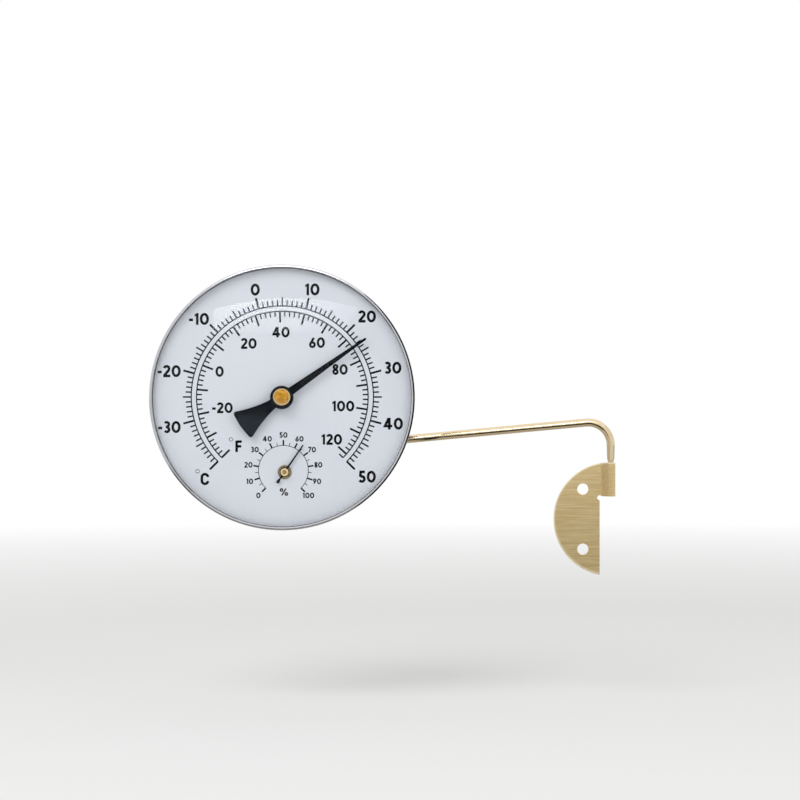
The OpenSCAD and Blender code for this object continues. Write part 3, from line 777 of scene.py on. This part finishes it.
# %% Numerals of temperature
CELSIUS_HEIGHT, FAHRENHEIT_HEIGHT = 5.6, 5.0
CELSIUS_PLACES = {
    -30: (-53.9, -14.1), -20: (-54.0, 12.6), -10: (-39.8, 37.5), 0: (-12.9, 51.5), 10: (14.3, 51.6),
    20: (40.5, 38.7), 30: (52.8, 14.2), 40: (53.0, -12.5), 50: (40.5, -37.8),
}
FAHRENHEIT_PLACES = {
    -20: (-28.6, -4.9), 0: (-29.9, 12.4), 20: (-16.0, 25.8), 40: (-0.6, 31.2),
    60: (16.6, 26.2), 80: (27.6, 13.4), 100: (29.1, -4.1), 120: (23.6, -20.0),
}


def printed_numerals(name, centre, places, height):
    """Numerals of a height in millimetres at their places."""
    work = bmesh.new()
    for number, place in places.items():
        write_text(work, str(number), place, height)
    printed_piece(name, work, centre)


printed_numerals("celsius_numerals", thermometer_centre, CELSIUS_PLACES, CELSIUS_HEIGHT)
printed_numerals("fahrenheit_numerals", thermometer_centre, FAHRENHEIT_PLACES, FAHRENHEIT_HEIGHT)

# %% [markdown]
# ## The scale of humidity
# The small scale runs from 0 to 100 percent, with a tick for every five, and its numerals stand
# in a circle round it. It could be a smaller copy of a large scale, but its ticks would then be
# too short and thin, so it has sizes of its own. It too is printed a little off its pin.

# %% Scale and numerals of humidity
small_centre = thermometer_centre + Vector((0.56 * MM, 0, -34.8 * MM))
HUMIDITY_STEPS = 20
HUMIDITY_LINE, HUMIDITY_HALF_LINE = 11.9, 0.15
HUMIDITY_NUMERALS, HUMIDITY_HEIGHT = 16.9, 2.6
humidity_rings = [(1, 2, 1.6, 0.32), (2, NEVER, 2.6, 0.76)]
printed_scale(
    "humidity_scale", small_centre, HUMIDITY_STEPS, HUMIDITY_LINE, HUMIDITY_HALF_LINE, humidity_rings)

humidity_places = {}
for percent in range(0, 101, 10):
    angle = radians(SCALE_START - SCALE_SWEEP * percent / 100)
    humidity_places[percent] = (HUMIDITY_NUMERALS * cos(angle), HUMIDITY_NUMERALS * sin(angle))
printed_numerals("humidity_numerals", small_centre, humidity_places, HUMIDITY_HEIGHT)

# %% [markdown]
# ## The unit marks
# A letter with its small degree ring marks each scale of temperature, and a percent sign marks
# the small one. The letters are figures like the numerals. The signs could be as heavy, but on
# the dial they are finer, so they are strokes of their own width. Their places too are in
# millimetres from the dial's centre.

# %% Unit marks
LETTERS = [("F", (-20.8, -23.3), 5.4), ("C", (-36.9, -38.9), 5.6)]
DEGREE_RINGS = [(-24.5, -20.0), (-40.4, -35.2)]
DEGREE_RADIUS, DEGREE_HALF_LINE = 0.85, 0.12
PERCENT_X, PERCENT_Y = 0.8, -45.1
DOT_RADIUS, DOT_ASIDE, DOT_UP = 0.58, 1.15, 0.95
SLASH_ASIDE, SLASH_UP = 1.0, 1.65
PERCENT_HALF_LINE = 0.3

units = bmesh.new()
for letter, place, height in LETTERS:
    write_text(units, letter, place, height)
for ring_centre in DEGREE_RINGS:
    stroke(units, loop(ring_centre, DEGREE_RADIUS), DEGREE_HALF_LINE, in_millimetres, True)
for side in (-1, 1):
    dot = (PERCENT_X + DOT_ASIDE * side, PERCENT_Y - DOT_UP * side)
    stroke(units, loop(dot, DOT_RADIUS, 18), PERCENT_HALF_LINE, in_millimetres, True)
slash = [(PERCENT_X + SLASH_ASIDE * side, PERCENT_Y + SLASH_UP * side) for side in (-1, 1)]
stroke(units, slash, PERCENT_HALF_LINE, in_millimetres)
printed_piece("unit_marks", units, thermometer_centre)

# %% [markdown]
# ## The camera
# The photograph looks straight at the dial from far away. A long lens keeps the perspective as
# flat as it is there. A camera without perspective would be flatter than any real one. The
# distance follows from the width that the picture covers.

# %% Camera
# The width that the picture covers in the upright plane through its centre
PICTURE_WIDTH = 381.9 * MM
PICTURE_CENTRE = Vector((thermometer_centre.x + 56.4 * MM, -27.6 * MM, thermometer_centre.z - 1.2 * MM))

optics = bpy.data.cameras.new("camera")
optics.lens = 100
optics.sensor_width = 36
camera = bpy.data.objects.new("camera", optics)
bpy.context.scene.collection.objects.link(camera)
distance = PICTURE_WIDTH * optics.lens / optics.sensor_width
camera.location = PICTURE_CENTRE - Vector((0, distance, 0))
camera.rotation_euler = (pi / 2, 0, 0)
bpy.context.scene.camera = camera
print("camera distance in m:", round(distance, 3))

# %% [markdown]
# ## The world
# The world is soft white light from all sides. To the camera, in metal and through glass it is
# plain white. As light on the object it is a little weaker, because lamps add to it. A picture
# of a real studio could surround it instead, but plain white leaves every colour as written.

# %% World
WORLD_LEVEL = 0.62


def fill_world(tree):
    """White where it is seen and a weaker white where it only lights."""
    rays = add(tree, "ShaderNodeLightPath").outputs
    seen = rays["Is Camera Ray"]
    for other in ("Is Glossy Ray", "Is Transmission Ray"):
        seen = add(tree, "ShaderNodeMath", (seen, rays[other]), operation="MAXIMUM")
    strength = add(tree, "ShaderNodeMapRange", (seen, 0.0, 1.0, WORLD_LEVEL, 1.0))
    background = tree.nodes["Background"]
    background.inputs["Color"].default_value = colour("#ffffff")
    tree.links.new(strength.outputs[0], background.inputs["Strength"])


world = bpy.data.worlds.new("soft white room")
world.use_nodes = True
fill_world(world.node_tree)
bpy.context.scene.world = world
print("world level:", WORLD_LEVEL)

# %% [markdown]
# ## The floor
# A pale matt floor below the thermometer takes its soft shadow. It has no gloss, or it would
# mirror the boards that are put up later. Far from the object the camera sees it as plain
# white, so it meets the white world without a line, and no curved backdrop is needed.

# %% Floor
FLOOR_HEIGHT = -90 * MM
FLOOR_REACH = 8
FADE_BEGINS, FADE_IS_FULL = 0.5, 1.6


def flat_sheet(name, corners):
    """A single face, for the floor and the boards."""
    mesh = bpy.data.meshes.new(name)
    mesh.from_pydata(corners, [], [range(len(corners))])
    sheet = bpy.data.objects.new(name, mesh)
    bpy.context.scene.collection.objects.link(sheet)
    return sheet


def level(z, left, right, front, back):
    """Corners of a sheet that lies flat."""
    return [(left, front, z), (right, front, z), (right, back, z), (left, back, z)]


def floor_finish(name):
    """Matt near the object and, for the camera alone, white far from it."""
    material, tree, shader = new_material(name, "#fafaf9", 0.0, 0.9)
    shader.inputs["Specular IOR Level"].default_value = 0.0
    place = add(tree, "ShaderNodeTexCoord").outputs["Object"]
    reach = add(tree, "ShaderNodeVectorMath", (place,), operation="LENGTH").outputs["Value"]
    far = add(tree, "ShaderNodeMapRange", (reach, FADE_BEGINS, FADE_IS_FULL))
    camera_ray = add(tree, "ShaderNodeLightPath").outputs["Is Camera Ray"]
    faded = add(tree, "ShaderNodeMath", (far, camera_ray), operation="MULTIPLY")
    white = add(tree, "ShaderNodeEmission", (colour("#ffffff"), 1.0))
    mixed = add(tree, "ShaderNodeMixShader", (faded, shader, white))
    tree.links.new(mixed.outputs[0], tree.nodes["Material Output"].inputs["Surface"])
    return material


floor = flat_sheet("floor", level(FLOOR_HEIGHT, -FLOOR_REACH, FLOOR_REACH, -FLOOR_REACH, FLOOR_REACH))
floor.data.materials.append(floor_finish("Pale matt floor"))
print("floor at z =", FLOOR_HEIGHT / MM, "mm")

# %% [markdown]
# ## The lamps
# Two large soft lamps give the light a direction: the key from the upper left before the
# object, and a weaker fill from the right. Small lamps would cast hard shadows, so they are
# big. Metal and glass don't mirror them, because the boards of the next step are there for that.

# %% Lamps
LAMP_SIDE = 1.2
LAMP_AIM = Vector((-0.09, -0.02, 0.05))


def soft_lamp(name, place, watts):
    """A square lamp that faces the thermometer."""
    light = bpy.data.lights.new(name, "AREA")
    light.shape = "RECTANGLE"
    light.size = LAMP_SIDE
    light.size_y = LAMP_SIDE
    light.energy = watts
    lamp = bpy.data.objects.new(name, light)
    lamp.location = place
    lamp.rotation_euler = (LAMP_AIM - Vector(place)).to_track_quat("-Z", "Y").to_euler()
    lamp.visible_glossy = False
    lamp.visible_transmission = False
    bpy.context.scene.collection.objects.link(lamp)
    print(name, "gives", watts, "watts")


soft_lamp("key lamp", (-0.9, -1.5, 1.5), 16)
soft_lamp("fill lamp", (1.3, -1.4, 0.7), 6)

# %% [markdown]
# ## Boards that only shiny things see
# Polished metal and glass show what stands before them, and photographers put boards there.
# More lamps could do it, but they would light the object too. So a board glows in its own
# colour, lights nothing, and is met by one kind of ray alone.
# A bright board overhead gives the rod its light band. A dark strip just above the floor gives
# it its dark line, and a pale board under the thermometer gives it the band below that line. A
# board beside the case is dark towards the bezel, whose right edge it draws, and pale towards
# the arm. Behind the camera stand a black board and a blue one, for what lies under the glass:
# the black one keeps the pointers black, and the blue one shows in the large pointer's tail.

# %% Boards
LOW_BOARDS = -85 * MM
BEHIND_CAMERA = -1.12
KINDS_OF_RAY = (
    "visible_camera", "visible_diffuse", "visible_glossy", "visible_transmission", "visible_shadow",
)


def board(name, corners, code, strength=1.0, seen_by="visible_glossy"):
    """A board for reflections. Returns the tree of its material."""
    sheet = flat_sheet(name, corners)
    material = bpy.data.materials.new(name)
    material.use_nodes = True
    tree = material.node_tree
    glow = add(tree, "ShaderNodeEmission", (colour(code), strength))
    tree.links.new(glow.outputs[0], tree.nodes["Material Output"].inputs["Surface"])
    sheet.data.materials.append(material)
    for kind in KINDS_OF_RAY:
        setattr(sheet, kind, kind == seen_by)
    return tree


def upright(y, left, right, bottom, top):
    """Corners of an upright board across the view."""
    return [(left, y, bottom), (right, y, bottom), (right, y, top), (left, y, top)]


board("overhead board", level(1.0, -1.0, 1.0, -1.8, 0.9), "#fbf8fa", 1.25)
board("dark strip", level(LOW_BOARDS, -0.4, 0.4, -0.72, -0.13), "#080605")
board("pale board", level(LOW_BOARDS, -0.4, 0.4, -0.13, 0.3), "#c4c0bc")
camera_corners = upright(BEHIND_CAMERA, -0.29, -0.09, 0.043, 0.14)
blue_corners = upright(BEHIND_CAMERA, -0.29, -0.09, -0.08, 0.043)
board("camera board", camera_corners, "#050506", seen_by="visible_transmission")
board("blue board", blue_corners, "#a9c4f0", seen_by="visible_transmission")

FRONT_EDGE, REAR_EDGE = (-0.0666, -0.2), (-0.07, -0.012)
FOOT, TOP = -0.06, 0.16
side_corners = [(*FRONT_EDGE, FOOT), (*FRONT_EDGE, TOP), (*REAR_EDGE, TOP), (*REAR_EDGE, FOOT)]
side_tree = board("side board", side_corners, "#141214")
behind = add(side_tree, "ShaderNodeNewGeometry").outputs["Backfacing"]
two_sided = add(side_tree, "ShaderNodeMix", {
    0: behind, 6: colour("#141214"), 7: colour("#d5d1ca"),
}, data_type="RGBA")
side_tree.links.new(two_sided.outputs[2], side_tree.nodes["Emission"].inputs["Color"])
print("boards are up")

# %% [markdown]
# ## The softbox
# The bright patch in the upper half of the glass is the mirror image of a softbox above the
# camera. The patch could be painted on the glass, but then it would stay there when the dial
# turns away. The softbox has a bent outline, because a dome bends what it mirrors, and it fades
# downwards and to the right. A small white board keeps it out of the brass of the wall plate.

# %% Softbox
SOFTBOX_STRENGTH = 18
SOFTBOX_PLACE = -1.235
# It brightens from the first height to the second, and dims from the first x to the second.
FADE_HEIGHTS = (0.48, 0.7)
FADE_WIDTHS = (-0.1, 0.37)
DIMMEST = 0.3
SOFTBOX_OUTLINE = [
    (-0.69, 0.504), (-0.208, 0.481), (0.36, 0.506), (0.378, 0.688),
    (0.08, 0.738), (-0.211, 0.745), (-0.48, 0.728), (-0.707, 0.694),
]
softbox_corners = [(x, SOFTBOX_PLACE, z) for x, z in SOFTBOX_OUTLINE]
softbox_tree = board("softbox", softbox_corners, "#f6f9ff", SOFTBOX_STRENGTH)
place = add(softbox_tree, "ShaderNodeTexCoord").outputs["Object"]
along = add(softbox_tree, "ShaderNodeSeparateXYZ", (place,)).outputs
by_height = add(softbox_tree, "ShaderNodeMapRange", (along["Z"], *FADE_HEIGHTS, DIMMEST, 1.0))
by_width = add(softbox_tree, "ShaderNodeMapRange", (
    along["X"], *FADE_WIDTHS, SOFTBOX_STRENGTH, DIMMEST * SOFTBOX_STRENGTH,
))
strength = add(softbox_tree, "ShaderNodeMath", (by_height, by_width), operation="MULTIPLY")
softbox_tree.links.new(strength.outputs[0], softbox_tree.nodes["Emission"].inputs["Strength"])

board("white board", upright(-0.3, -0.25, 0.15, 0.09, 0.178), "#ffffff")
print("the softbox has", len(SOFTBOX_OUTLINE), "corners")

# %% [markdown]
# ## Finish
# A filmic view would soften the bright tones and pale the colours. They are meant to go out as
# they are, so the view transform is Standard.

# %% Set the view transform
bpy.context.scene.view_settings.view_transform = "Standard"
